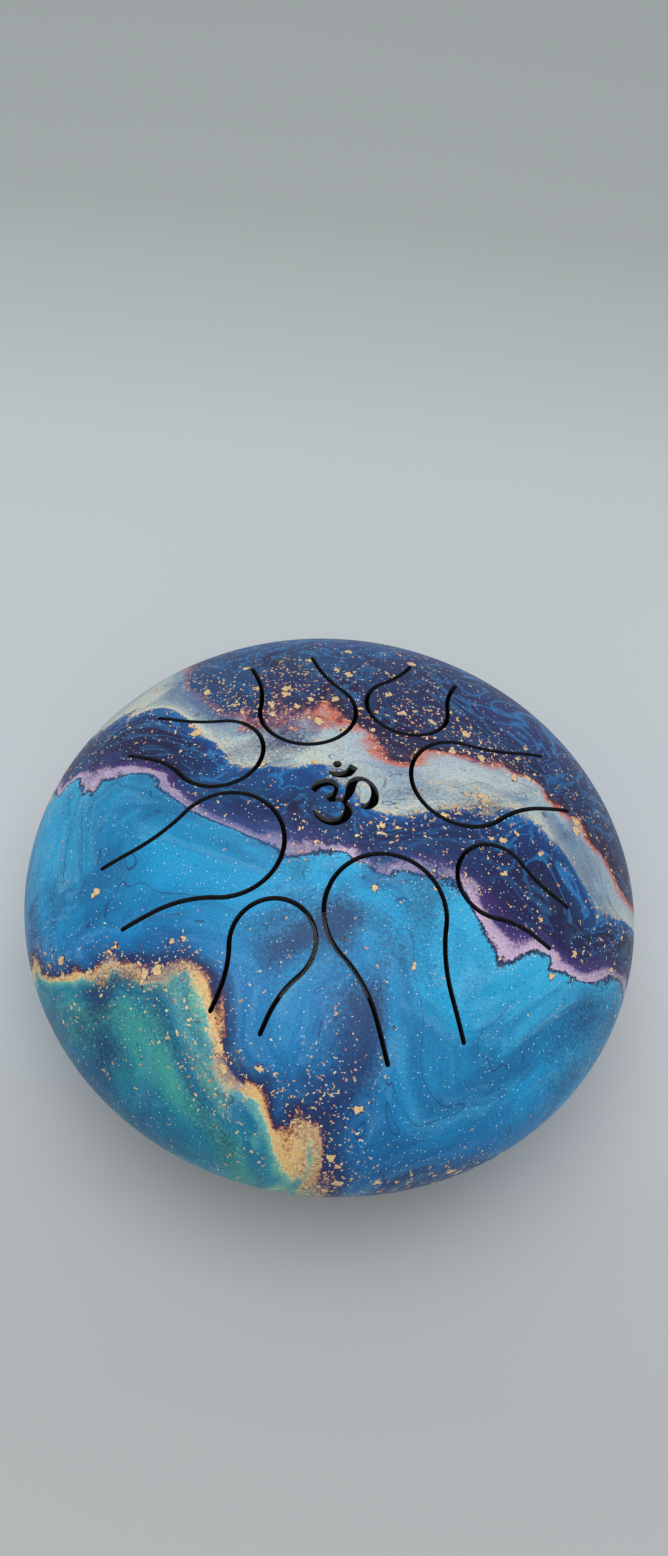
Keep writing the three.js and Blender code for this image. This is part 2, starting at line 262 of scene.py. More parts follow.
# Water-transfer print under satin clear lacquer. The eye gets flat, rich ink colours and a soft, wide
# highlight that turns the drum's shoulders pale.
marbling = {
    "swirl": 66.0, "swirlReach": 120.0,     # size of the widest swirls and how far they carry, mm
    "curl": 20.0, "curlReach": 26.0,
    "fray": 4.0, "frayReach": 4.5,
    "grit": 0.7, "gritReach": 3.0,          # breaks every border of the inks up into grains
    "start": (40.0, -120.0, 300.0),         # moves the swirls through the drum, mm
    "flowWay": (0.35, 0.9, 0.2),            # the bands of ink lie across this
    "bands": [                              # mm along the flow, colour
        (-95, "0b4a7e"), (-84, "0f8799"), (-72, "3d9c90"), (-62, "0b82a0"), (-57.4, "6fb8a0"),
        (-56.9, "f0d79c"), (-55.6, "dcae6a"), (-54.4, "ecc98a"), (-53.0, "c98b50"), (-52.5, "6e2a3a"),
        (-51.8, "161446"), (-45, "0470ae"), (-28, "0791c9"), (-8, "18a2d4"), (-1.2, "38aedb"),
        (-0.7, "10163f"), (0.0, "141a4a"), (0.5, "cdb6cf"), (3.6, "b69bbb"), (5.2, "432a6c"),
        (10, "1a1049"), (20, "0a0e3a"), (27, "0b3474"), (30.2, "0d62a6"), (31.0, "e8d196"),
        (31.8, "c4ccc0"), (44, "a9bac4"), (47.5, "c96648"), (48.6, "260a34"), (60, "0c0d40"),
        (80, "15327c"), (95, "100f3a"),
    ],
    "flakeChance": [                        # mm along the flow, share of the places that hold a gold flake
        (-95, 0.0), (-62, 0.0), (-58, 0.3), (-54, 0.9), (-48, 0.35), (-38, 0.03), (-8, 0.02),
        (-1, 0.06), (6, 0.03), (20, 0.12), (27, 0.45), (30, 0.9), (34, 0.12), (44, 0.05), (49, 0.75),
        (56, 0.12), (95, 0.02),
    ],
    "dustChance": [                         # the same for the fine gold dust
        (-95, 0.04), (-68, 0.15), (-59, 0.6), (-55, 1.0), (-47, 0.5), (-40, 0.06), (-20, 0.0),
        (-2, 0.06), (0, 0.3), (8, 0.3), (22, 0.25), (30, 1.0), (34, 0.2), (42, 0.1), (49, 0.9),
        (60, 0.3), (95, 0.1),
    ],
    "rippleShare": [                        # how much the dark inks show ripples
        (-95, 0.3), (-75, 0.15), (-58, 0.0), (-40, 0.12), (-10, 0.1), (0, 0.0), (8, 0.1), (18, 0.45),
        (25, 0.9), (30, 0.5), (33, 0.0), (48, 0.0), (56, 0.5), (80, 0.9), (95, 0.6),
    ],
    "wispShare": [                          # and where pale ink was drawn out
        (-95, 0.15), (-60, 0.3), (-45, 0.36), (-2, 0.4), (0, 0.05), (28, 0.06), (33, 0.3), (46, 0.2),
        (50, 0.04), (95, 0.1),
    ],
    "cloud": 36.0, "cloudInk": "10265a",    # size of the dark clouds over the blue, mm
    "cloudEdge": (0.64, 0.80), "cloudShare": 0.85, "cloudGrain": 0.22,
    "pool": 26.0, "poolInk": "034f86",      # the deeper pools of ink
    "poolEdge": (0.47, 0.66), "poolShare": 0.7,
    "ripple": 5.0, "rippleInk": "1f7fc0",
    "rippleWidth": 0.05, "rippleStretch": (0.5, 1.0, 0.7),
    "wispInk": "7cc4e8", "wispEdge": (0.5, 0.8),
    "wispStretch": (0.035, 0.16, 0.1),      # pale wisps per mm, long to the sides
    "vein": 30.0, "veinInk": "1b2a5c",      # the loops that thin veins of ink make
    "veinWidth": (0.001, 0.004), "veinShare": 0.75, "veinBreak": (0.46, 0.56),
    "bubble": 7.0, "bubbleChance": 0.3,     # spacing of the places for bubble rings, and how many hold one
    "bubbleSize": (0.07, 0.18),             # the smallest, and what a large one adds, in spacings
    "bubbleLine": (0.01, 0.025), "bubbleShare": 0.7,
    "flake": 3.2, "flakeSize": (0.08, 0.34), "flakeRim": 0.05,   # gold flakes, the same way
    "flakeJag": 1.3, "jagReach": 2.6,       # jags in their outline, mm
    "clumpEdge": (0.36, 0.6),               # where gold lies in clumps
    "flakeEdge": "33204a", "darkGold": "c98f5a", "paleGold": "f3dfa8",
    "dust": 0.9, "dustSize": 0.36,          # gold dust; the real dust is finer
    "dustClump": 0.6,                       # how thick it lies in a clump
    "copperDust": "d08a62", "goldDust": "f0d79c",
    "speck": 0.9, "speckSize": 0.19,        # pale specks; real ones are half as large
    "speckInk": "b4cfe6",
    "filmGrain": 0.45, "grainInk": "052c5c",   # grain of the film, about twice as coarse as the real one
    "grainEdge": (0.45, 0.75), "grainShare": 0.4,
    "satin": 0.42,
    "lacquerIor": 1.37,                     # a little under 1.5: the film under it takes part of the shine
    "peel": 0.9, "peelBump": 0.05,          # orange peel of the lacquer, mm
    "grinding": (0.12, 0.12, 3.0),          # marks per mm on the ground weld, drawn out along the rim
    "grindingBump": 0.12,
}


def foldInk(tree, inMm):
    # Three folds of the ink, each carried by the one before
    m = marbling
    flow, folds = inMm, []
    for fold, detail in (("swirl", 1.0), ("curl", 2.0), ("fray", 3.0)):
        moved = add(tree, "VectorMath", {0: flow, 1: m["start"]}, operation="ADD")
        noise = add(tree, "TexNoise", {"Vector": moved, "Scale": 1 / m[fold], "Detail": detail})
        centred = add(tree, "VectorMath", {0: (noise, "Color"), 1: (0.5, 0.5, 0.5)}, operation="SUBTRACT")
        carried = add(tree, "VectorMath", {0: centred, "Scale": m[fold + "Reach"]}, operation="SCALE")
        flow = add(tree, "VectorMath", {0: flow, 1: carried}, operation="ADD")
        folds.append(flow)
    return folds


def drawDarkInk(tree, colour, curled, along):
    # Deeper pools where the ink ran together, and bright ripples in the dark inks
    m = marbling
    low, high = m["poolEdge"]
    pool = add(tree, "TexNoise", {"Vector": curled, "Scale": 1 / m["pool"], "Detail": 3.5, "Roughness": 0.55})
    share = add(tree, "MapRange", {"Value": (pool, "Fac"), "From Min": low, "From Max": high,
                                   "To Max": m["poolShare"]})
    colour = add(tree, "Mix", {0: share, 6: colour, 7: linear(m["poolInk"])}, data_type="RGBA")

    # the ripples are the lines where a stretched noise passes its middle
    ran = add(tree, "VectorMath", {0: curled, 1: m["rippleStretch"]}, operation="MULTIPLY")
    wave = add(tree, "TexNoise", {"Vector": ran, "Scale": 1 / m["ripple"], "Detail": 2.0})
    off = add(tree, "Math", {0: (wave, "Fac"), 1: 0.5}, operation="SUBTRACT")
    near = add(tree, "Math", {0: off}, operation="ABSOLUTE")
    line = add(tree, "MapRange", {"Value": near, "From Min": 0.0, "From Max": m["rippleWidth"],
                                  "To Min": 1.0, "To Max": 0.0})
    here = add(tree, "ValToRGB", {"Fac": along}, stops=spread(m["rippleShare"]))
    share = add(tree, "Math", {0: line, 1: here}, operation="MULTIPLY")
    return add(tree, "Mix", {0: share, 6: colour, 7: linear(m["rippleInk"])}, data_type="RGBA"), pool


def drawSmoke(tree, colour, curled, along, grain, cloud):
    # Pale wisps that were drawn out in the blue, and dark clouds that break up into grains at their edges
    m = marbling
    drawnOut = add(tree, "VectorMath", {0: curled, 1: m["wispStretch"]}, operation="MULTIPLY")
    wisp = add(tree, "TexNoise", {"Vector": drawnOut, "Scale": 1.0, "Detail": 4.0, "Roughness": 0.6})
    here = add(tree, "ValToRGB", {"Fac": along}, stops=spread(m["wispShare"]))
    low, high = m["wispEdge"]
    share = add(tree, "MapRange", {"Value": (wisp, "Fac"), "From Min": low, "From Max": high, "To Max": here})
    colour = add(tree, "Mix", {0: share, 6: colour, 7: linear(m["wispInk"])}, data_type="RGBA")

    grained = add(tree, "Math", {0: (grain, "Fac"), 1: m["cloudGrain"], 2: (cloud, "Fac")},
                  operation="MULTIPLY_ADD")
    low, high = m["cloudEdge"]
    share = add(tree, "MapRange", {"Value": grained, "From Min": low, "From Max": high,
                                   "To Max": m["cloudShare"]})
    return add(tree, "Mix", {0: share, 6: colour, 7: linear(m["cloudInk"])}, data_type="RGBA")


def drawVeins(tree, colour, curled, pool):
    # Thin veins where a slow noise passes its middle, broken off outside the pools
    m = marbling
    slow = add(tree, "TexNoise", {"Vector": curled, "Scale": 1 / m["vein"], "Detail": 1.0})
    off = add(tree, "Math", {0: (slow, "Fac"), 1: 0.5}, operation="SUBTRACT")
    near = add(tree, "Math", {0: off}, operation="ABSOLUTE")
    low, high = m["veinWidth"]
    thin = add(tree, "MapRange", {"Value": near, "From Min": low, "From Max": high,
                                  "To Min": m["veinShare"], "To Max": 0.0})
    low, high = m["veinBreak"]
    broken = add(tree, "MapRange", {"Value": (pool, "Fac"), "From Min": low, "From Max": high})
    share = add(tree, "Math", {0: thin, 1: broken}, operation="MULTIPLY")
    return add(tree, "Mix", {0: share, 6: colour, 7: linear(m["veinInk"])}, data_type="RGBA")


def drawBubbles(tree, colour, curled):
    # Thin rings that small bubbles left in the ink
    m = marbling
    bubble = add(tree, "TexVoronoi", {"Vector": curled, "Scale": 1 / m["bubble"]})
    drawn = add(tree, "SeparateColor", {"Color": (bubble, "Color")})
    held = add(tree, "Math", {0: (drawn, "Red"), 1: m["bubbleChance"]}, operation="LESS_THAN")
    least, more = m["bubbleSize"]
    size = add(tree, "Math", {0: (drawn, "Green"), 1: more, 2: least}, operation="MULTIPLY_ADD")
    off = add(tree, "Math", {0: (bubble, "Distance"), 1: size}, operation="SUBTRACT")
    near = add(tree, "Math", {0: off}, operation="ABSOLUTE")
    low, high = m["bubbleLine"]
    line = add(tree, "MapRange", {"Value": near, "From Min": low, "From Max": high,
                                  "To Min": m["bubbleShare"], "To Max": 0.0})
    share = add(tree, "Math", {0: line, 1: held}, operation="MULTIPLY")
    return add(tree, "Mix", {0: share, 6: colour, 7: linear(m["veinInk"])}, data_type="RGBA")


def drawGold(tree, colour, inMm, along, grain, cloud):
    # Gold flakes with a thin dark edge and fine dust, thick along the borders between inks
    m = marbling
    low, high = m["clumpEdge"]
    clump = add(tree, "MapRange", {"Value": (cloud, "Fac"), "From Min": low, "From Max": high})
    jag = add(tree, "TexNoise", {"Vector": inMm, "Scale": 1 / m["flakeJag"], "Detail": 2.0})
    jagged = add(tree, "VectorMath", {0: (jag, "Color"), 1: (m["jagReach"],) * 3, 2: inMm},
                 operation="MULTIPLY_ADD")

    chance = add(tree, "ValToRGB", {"Fac": along}, stops=spread(m["flakeChance"]))
    flake = add(tree, "TexVoronoi", {"Vector": jagged, "Scale": 1 / m["flake"]})
    drawn = add(tree, "SeparateColor", {"Color": (flake, "Color")})
    limit = add(tree, "Math", {0: chance, 1: clump}, operation="MULTIPLY")
    held = add(tree, "Math", {0: (drawn, "Red"), 1: limit}, operation="LESS_THAN")
    least, more = m["flakeSize"]
    size = add(tree, "Math", {0: (drawn, "Green"), 1: more, 2: least}, operation="MULTIPLY_ADD")
    rimmed = add(tree, "Math", {0: size, 1: m["flakeRim"]}, operation="ADD")
    gold = add(tree, "Mix", {0: (grain, "Fac"), 6: linear(m["darkGold"]), 7: linear(m["paleGold"])},
               data_type="RGBA")
    for reach, ink in ((rimmed, linear(m["flakeEdge"])), (size, gold)):
        inside = add(tree, "Math", {0: (flake, "Distance"), 1: reach}, operation="LESS_THAN")
        share = add(tree, "Math", {0: inside, 1: held}, operation="MULTIPLY")
        colour = add(tree, "Mix", {0: share, 6: colour, 7: ink}, data_type="RGBA")

    chance = add(tree, "ValToRGB", {"Fac": along}, stops=spread(m["dustChance"]))
    dust = add(tree, "TexVoronoi", {"Vector": jagged, "Scale": 1 / m["dust"]})
    drawn = add(tree, "SeparateColor", {"Color": (dust, "Color")})
    thinned = add(tree, "Math", {0: clump, 1: m["dustClump"]}, operation="MULTIPLY")
    limit = add(tree, "Math", {0: chance, 1: thinned}, operation="MULTIPLY")
    held = add(tree, "Math", {0: (drawn, "Red"), 1: limit}, operation="LESS_THAN")
    inside = add(tree, "Math", {0: (dust, "Distance"), 1: m["dustSize"]}, operation="LESS_THAN")
    share = add(tree, "Math", {0: held, 1: inside}, operation="MULTIPLY")
    ink = add(tree, "Mix", {0: (drawn, "Blue"), 6: linear(m["copperDust"]), 7: linear(m["goldDust"])},
              data_type="RGBA")
    return add(tree, "Mix", {0: share, 6: colour, 7: ink}, data_type="RGBA")


def drawFilm(tree, colour, inMm):
    # Fine dark grain of the printed film and its pale specks
    m = marbling
    fine = add(tree, "TexNoise", {"Vector": inMm, "Scale": 1 / m["filmGrain"], "Detail": 1.0})
    low, high = m["grainEdge"]
    share = add(tree, "MapRange", {"Value": (fine, "Fac"), "From Min": low, "From Max": high,
                                   "To Max": m["grainShare"]})
    colour = add(tree, "Mix", {0: share, 6: colour, 7: linear(m["grainInk"])}, data_type="RGBA")
    speck = add(tree, "TexVoronoi", {"Vector": inMm, "Scale": 1 / m["speck"]})
    drawn = add(tree, "SeparateColor", {"Color": (speck, "Color")})
    reach = add(tree, "Math", {0: (drawn, "Red"), 1: m["speckSize"]}, operation="MULTIPLY")
    share = add(tree, "Math", {0: (speck, "Distance"), 1: reach}, operation="LESS_THAN")
    return add(tree, "Mix", {0: share, 6: colour, 7: linear(m["speckInk"])}, data_type="RGBA")


def printedFinish(name, ground=False):
    # The bands of ink along the flow, with all that the other functions draw on them, under lacquer
    m = marbling
    material, tree, shader, inMm = newMaterial(name)
    swirled, curled, frayed = foldInk(tree, inMm)
    grain = add(tree, "TexNoise", {"Vector": inMm, "Scale": 1 / m["grit"], "Detail": 1.0})
    cloud = add(tree, "TexNoise", {"Vector": swirled, "Scale": 1 / m["cloud"], "Detail": 2.5})

    across = add(tree, "VectorMath", {0: frayed, 1: m["flowWay"]}, operation="DOT_PRODUCT")
    gritty = add(tree, "Math", {0: (grain, "Fac"), 1: m["gritReach"], 2: (across, "Value")},
                 operation="MULTIPLY_ADD")
    low, high = m["bands"][0][0], m["bands"][-1][0]
    along = add(tree, "MapRange", {"Value": gritty, "From Min": low, "From Max": high})
    colour = add(tree, "ValToRGB", {"Fac": along}, stops=spread(m["bands"]))
    colour, pool = drawDarkInk(tree, colour, curled, along)
    colour = drawSmoke(tree, colour, curled, along, grain, cloud)
    colour = drawVeins(tree, colour, curled, pool)
    colour = drawBubbles(tree, colour, curled)
    colour = drawGold(tree, colour, inMm, along, grain, cloud)
    colour = drawFilm(tree, colour, inMm)

    tree.links.new(colour.outputs[2], shader.inputs["Base Color"])
    shader.inputs["Roughness"].default_value = m["satin"]
    shader.inputs["IOR"].default_value = m["lacquerIor"]
    peel = add(tree, "TexNoise", {"Vector": inMm, "Scale": 1 / m["peel"], "Detail": 1.0})
    bump = add(tree, "Bump", {"Height": (peel, "Fac"), "Strength": m["peelBump"], "Distance": 0.1 * mm})
    if ground:
        # faint marks that the grinder left along the rim, under the lacquer
        drawnOut = add(tree, "VectorMath", {0: inMm, 1: m["grinding"]}, operation="MULTIPLY")
        marks = add(tree, "TexNoise", {"Vector": drawnOut, "Scale": 1.0, "Detail": 2.0})
        bump = add(tree, "Bump", {"Height": (marks, "Fac"), "Strength": m["grindingBump"],
                                  "Distance": 0.1 * mm, "Normal": bump})
    tree.links.new(bump.outputs[0], shader.inputs["Normal"])
    return material


def mottledFinish(name, coat):
    # One coat in two shades; gives the material, and what a finish may build on
    material, tree, shader, inMm = newMaterial(name)
    mottle = add(tree, "TexNoise", {"Vector": inMm, "Scale": 1 / coat["size"], "Detail": coat["detail"]})
    shade = add(tree, "Mix", {0: mottle, 6: linear(coat["dark"]), 7: linear(coat["pale"])}, data_type="RGBA")
    tree.links.new(shade.outputs[2], shader.inputs["Base Color"])
    shader.inputs["Roughness"].default_value = coat["roughness"]
    return material, tree, shader, inMm, mottle


coats = {   # size is the mottling's, in mm
    # laser-cut steel, streaked where the cut left ridges, darkened to a near-black grey as painted shade of
    # the narrow slots: the eye takes the slots for black lines
    "cutEdge": {"dark": "202329", "pale": "43464d", "size": 0.8, "detail": 2.0, "roughness": 0.45},
    # the same cut steel lightened to a mid grey as painted light on the sign's walls, which shows how thick
    # the steel is
    "signEdgePaintedLight": {"dark": "3c3f43", "pale": "7d7f82", "size": 0.8, "detail": 2.0, "roughness": 0.45},
    # the inside of the bowls, seen only through the cuts and the port: a dull, cloudy near-black
    "inside": {"dark": "121316", "pale": "2b2d31", "size": 9.0, "detail": 4.0, "roughness": 0.6},
}
printedLacquer = printedFinish("printedSatinLacquer")
groundWeldLacquer = printedFinish("lacquerOverGroundWeld", ground=True)
# painted shade darkens the cut walls of the slots; painted light lightens the walls of the sign
cutEdgePaintedShade = mottledFinish("cutEdgeWithPaintedShade", coats["cutEdge"])[0]
signEdgePaintedLight = mottledFinish("cutEdgeWithPaintedLight", coats["signEdgePaintedLight"])[0]
nearBlackInside = mottledFinish("nearBlackInside", coats["inside"])[0]
bowlFinishes = [printedLacquer, cutEdgePaintedShade, nearBlackInside]
printSlot, edgeSlot, insideSlot, signSlot = range(4)      # the places of the finishes on a bowl's mesh
print("finishes made")


# Tongues and sign, as outlines in the plan view

tongueCuts = {
    "field": 57.5,
    "slot": 1.08,     # cut 1.2 wide, less the paint on both walls
    "sweep": 2.35,    # radius of the sweep from head to neck, in head radii
    "step": 0.5,      # between two points of an outline, mm
    "endSteps": 8,    # round each end of a slot
    "bend": 0.5,      # share of a tongue, from its root, over which the steel bends
    # Each tongue's angle from +X in degrees and, in hundredths of the field's radius, the distances of its
    # tip and root from the middle, the radius of its head and half the width of its neck
    "tongues": [
        (-67.5, 25, 100, 24, 15.5), (-21, 50.5, 95.5, 15.5, 10.5), (22, 29.5, 95.5, 21.5, 14.5),
        (67.5, 44.5, 92, 17.5, 11), (110.5, 31.5, 88.5, 20, 13.5), (155.5, 40, 94, 18, 11.5),
        (204, 27, 96.5, 23, 14.5), (248.5, 48, 95, 16.5, 10.5),
    ],
}


def arcPoints(centre, radius, fromAngle, toAngle, count):
    angle = np.linspace(fromAngle, toAngle, count)
    return np.column_stack([centre[0] + radius * np.cos(angle), centre[1] + radius * np.sin(angle)])


def spun(points, degrees):
    # Turns points of the plan view about the drum's axis
    c, s = math.cos(math.radians(degrees)), math.sin(math.radians(degrees))
    return points @ np.array([[c, s], [-s, c]])


def slotLine(cut, offset):
    # One side of a tongue's slot, from one end of its root round the head to the other end
    angle, tip, root, head, neck = cut
    tip, root, head, neck = [tongueCuts["field"] * v / 100 for v in (tip, root, head, neck)]
    headAt, sweep = tip + head, head * tongueCuts["sweep"]
    sweepAway, reach = neck + sweep, head + sweep
    sweepAt = headAt + math.sqrt(reach ** 2 - sweepAway ** 2)
    meet = math.asin(sweepAway / reach)
    step = tongueCuts["step"]
    straight = np.linspace(root, sweepAt, max(3, round((root - sweepAt) / step)))
    sweepCount = max(8, round(sweep * (math.pi / 2 - meet) / step))
    headCount = max(24, round(2 * head * (math.pi - meet) / step))
    left = np.column_stack([straight, np.full(len(straight), neck + offset)])
    leftSweep = arcPoints((sweepAt, sweepAway), sweep - offset, -math.pi / 2, meet - math.pi, sweepCount)
    headArc = arcPoints((headAt, 0), head + offset, meet, 2 * math.pi - meet, headCount)
    rightSweep = leftSweep[::-1] * (1, -1)
    right = left[::-1] * (1, -1)
    return np.vstack([left, leftSweep[1:], headArc[1:-1], rightSweep, right[1:]])


def slotEnd(cut, side, offset):
    # The round end of a slot, from its upper to its lower side in the tongue's own view
    root, neck = tongueCuts["field"] * cut[2] / 100, tongueCuts["field"] * cut[4] / 100
    return arcPoints((root, side * neck), offset, math.pi / 2, -math.pi / 2, tongueCuts["endSteps"] + 1)[1:-1]


def slotLoop(cut, offset):
    # The whole slot, and how many of its points lie on the tongue's side
    inner, outer = slotLine(cut, -offset), slotLine(cut, offset)
    loop = np.vstack([inner, slotEnd(cut, -1, offset), outer[::-1], slotEnd(cut, 1, offset)])
    return spun(loop, cut[0]), len(inner)


# Om sign as strokes of a broad pen: x, y and the stroke's width there, all in pen widths
sign = {
    "pen": 2.1,
    "turn": -3.5,
    "steps": 10,                # between two points of a stroke
    "leastStep": 0.06,          # points of the joined outline that lie closer are dropped, mm
    "leastPoints": 9,           # loops of fewer points are crumbs of the joining
    "dot": (-1.5, 5.0, 0.48),   # x, y and radius
    "dotSteps": 40,
    "upperBowl": [
        (-3.8, 1.0, 0.9), (-3.15, 1.9, 1.0), (-2.1, 2.4, 1.0), (-1.32, 2.05, 0.65), (-1.2, 1.45, 0.5),
        (-1.5, 0.65, 0.8), (-2.05, 0.05, 1.05),
    ],
    "lowerBowl": [
        (-1.75, -0.06, 0.45), (-1.0, 0.2, 0.6), (-0.35, 0.2, 0.6), (0.25, -0.35, 0.75),
        (0.42, -1.15, 1.0), (0.1, -2.0, 1.0), (-0.7, -2.6, 1.0), (-1.7, -2.7, 0.85),
        (-2.7, -2.25, 0.6), (-3.45, -1.5, 0.2),
    ],
    "curl": [
        (-0.2, 0.2, 0.5), (0.15, 0.9, 0.8), (0.33, 1.8, 1.05), (0.42, 2.6, 1.05), (0.85, 3.25, 0.8),
        (1.6, 3.42, 0.55), (2.35, 3.05, 0.55), (2.85, 2.35, 0.7), (3.08, 1.45, 0.9), (2.95, 0.5, 1.0),
        (2.4, -0.1, 0.85), (1.7, -0.15, 0.55),
    ],
    "crescent": [
        (-2.3, 3.85, 0.2), (-1.8, 3.6, 0.65), (-1.05, 3.6, 0.85), (-0.2, 3.95, 1.0), (0.4, 5.1, 1.0),
    ],
}


def smoothLine(points, steps):
    # Centripetal curve through the points, with the point before the first and after the last mirrored
    points = np.array(points, float)
    line = np.vstack([2 * points[0] - points[1], points, 2 * points[-1] - points[-2]])
    made = []
    for i in range(1, len(line) - 2):
        p = line[i - 1:i + 3]
        gap = [max(np.sum((p[k + 1] - p[k]) ** 2) ** 0.25, samePoint) for k in range(3)]
        t1 = (p[1] - p[0]) / gap[0] - (p[2] - p[0]) / (gap[0] + gap[1]) + (p[2] - p[1]) / gap[1]
        t2 = (p[2] - p[1]) / gap[1] - (p[3] - p[1]) / (gap[1] + gap[2]) + (p[3] - p[2]) / gap[2]
        t1, t2 = t1 * gap[1], t2 * gap[1]
        for s in np.arange(steps) / steps:
            made.append(p[1] + t1 * s + (3 * (p[2] - p[1]) - 2 * t1 - t2) * s ** 2
                        + (2 * (p[1] - p[2]) + t1 + t2) * s ** 3)
    return np.vstack([made, points[-1]])


def strokeOutline(points, extra):
    # Goes once round a stroke, extra wide to either side for its rounded edge
    line = smoothLine(points, sign["steps"])
    ahead = np.gradient(line[:, :2], axis=0)
    across = np.column_stack([-ahead[:, 1], ahead[:, 0]]) / np.linalg.norm(ahead, axis=1)[:, None]
    half = (line[:, 2:3] * sign["pen"] / 2 + extra) * across
    middle = line[:, :2] * sign["pen"]
    return spun(np.vstack([middle - half, (middle + half)[::-1]]), sign["turn"])


def signLoops():
    # Joins the strokes in the plan view and follows the edge of what they cover
    extra = drum["cutRounding"]
    outlines = [strokeOutline(sign[name], extra) for name in ("upperBowl", "lowerBowl", "curl", "crescent")]
    x, y, radius = [value * sign["pen"] for value in sign["dot"]]
    dot = arcPoints((x, y), radius + extra, 0, 2 * math.pi, sign["dotSteps"] + 1)[:-1]
    outlines.append(spun(dot, sign["turn"]))
    coords, edges = [], []
    for outline in outlines:
        start = len(coords)
        coords.extend(Vector(point) for point in outline.tolist())
        edges.extend((start + i, start + (i + 1) % len(outline)) for i in range(len(outline)))
    points, _, faces = delaunay_2d_cdt(coords, edges, [], 0, samePoint)[:3]
    points = np.array([tuple(point) for point in points])
    covered = np.zeros(len(faces), bool)
    middles = np.array([points[list(face)].mean(axis=0) for face in faces])
    for outline in outlines:
        covered |= wound(middles, outline) != 0
    follows, seen = {}, set()
    for face, inside in zip(faces, covered):
        if inside:
            a, b, c = face
            turn = np.cross(points[b] - points[a], points[c] - points[a])
            face = (a, b, c) if turn > 0 else (a, c, b)
            for i in range(3):
                seen.add((face[i], face[(i + 1) % 3]))
    for a, b in seen:
        if (b, a) not in seen:
            follows[a] = b
    loops = []
    while follows:
        start = next(iter(follows))
        loop, here = [], start
        while here in follows:
            loop.append(here)
            here = follows.pop(here)
        ring = points[loop][::-1]
        tidy = [ring[0]]
        for point in ring[1:]:
            if np.linalg.norm(point - tidy[-1]) > sign["leastStep"]:
                tidy.append(point)
        loops.append(np.array(tidy))
    return [loop for loop in loops if len(loop) >= sign["leastPoints"]]


def cornerSides(loop):
    # To the right of the way a loop runs, halfway between the two edges that meet at each point
    ahead = np.roll(loop, -1, axis=0) - loop
    ahead /= np.linalg.norm(ahead, axis=1)[:, None]
    right = np.column_stack([ahead[:, 1], -ahead[:, 0]])
    mean = right + np.roll(right, 1, axis=0)
    return mean / np.maximum(np.linalg.norm(mean, axis=1), 0.5)[:, None]


def smoothSides(loop):
    # The same for a loop without corners
    ahead = np.roll(loop, -1, axis=0) - np.roll(loop, 1, axis=0)
    ahead /= np.linalg.norm(ahead, axis=1)[:, None]
    return np.column_stack([ahead[:, 1], -ahead[:, 0]])


# The top bowl and its tongues

rounding = drum["cutRounding"]
halfSlot = tongueCuts["slot"] / 2
cuts = tongueCuts["tongues"]
coords, edges = [], []


def addLine(points, closed):
    # Adds a line that the triangles must follow, and gives the numbers of its points
    start = len(coords)
    coords.extend(Vector(point) for point in points.tolist())
    last = len(points) if closed else len(points) - 1
    edges.extend((start + i, start + (i + 1) % len(points)) for i in range(last))
    return list(range(start, start + len(points)))


slotEdges, innerCounts, chords = [], [], []
for cut in cuts:
    loop, innerCount = slotLoop(cut, halfSlot + rounding)
    slotEdges.append(addLine(loop, True))
    innerCounts.append(innerCount)
    first, last = loop[0], loop[innerCount - 1]
    count = max(4, round(np.linalg.norm(last - first) / drum["grid"]))
    inner = first + (last - first) * (np.arange(1, count) / count)[:, None]
    chord = addLine(inner, False)
    edges.append((slotEdges[-1][0], chord[0]))
    edges.append((chord[-1], slotEdges[-1][innerCount - 1]))
    chords.append(chord)
signRings = signLoops()
signEdges = [addLine(loop, True) for loop in signRings]
addLine(ringOf(drum["around"]) * drum["flatPart"], True)

# even triangles fill what the lines leave, well clear of them
lines = kdtree.KDTree(len(coords))
for index, point in enumerate(coords):
    lines.insert((point[0], point[1], 0), index)
lines.balance()
grid = drum["grid"]
rowStep = grid * 0.866     # the height of an even triangle
rowCount, columnCount = math.ceil(drum["flatPart"] / rowStep), math.ceil(drum["flatPart"] / grid)
for row in range(-rowCount, rowCount + 1):
    y = row * rowStep
    for column in range(-columnCount, columnCount + 1):
        x = (column + 0.5 * (row % 2)) * grid
        if math.hypot(x, y) < drum["flatPart"] - 0.4 * grid and lines.find((x, y, 0))[2] > 0.5 * grid:
            coords.append(Vector((x, y)))
laidOut = delaunay_2d_cdt(coords, edges, [], 0, samePoint / 10)
flat = np.array([tuple(point) for point in laidOut[0]])
became = {}                # from a point's number before to its number after
for new, olds in enumerate(laidOut[3]):
    for old in olds:
        became[old] = new
triangles = np.array([face for face in laidOut[2] if len(face) == 3])
a, b, c = flat[triangles[:, 0]], flat[triangles[:, 1]], flat[triangles[:, 2]]
flip = np.cross(b - a, c - a) < 0
triangles[flip] = triangles[flip][:, [0, 2, 1]]
middles = (a + b + c) / 3
owner = np.zeros(len(triangles), int)      # 0 the bowl, 1 to 8 a tongue, -1 cut away
for number, cut in enumerate(cuts, 1):
    owner[wound(middles, spun(slotLine(cut, 0.0), cut[0])) != 0] = number
    owner[wound(middles, slotLoop(cut, halfSlot + rounding)[0]) != 0] = -1
for loop in signRings:
    owner[wound(middles, loop) != 0] = -1
owner[np.hypot(middles[:, 0], middles[:, 1]) > drum["flatPart"]] = -1
print("top bowl laid out:", len(flat), "points,", len(triangles), "triangles,", len(signRings), "sign loops")

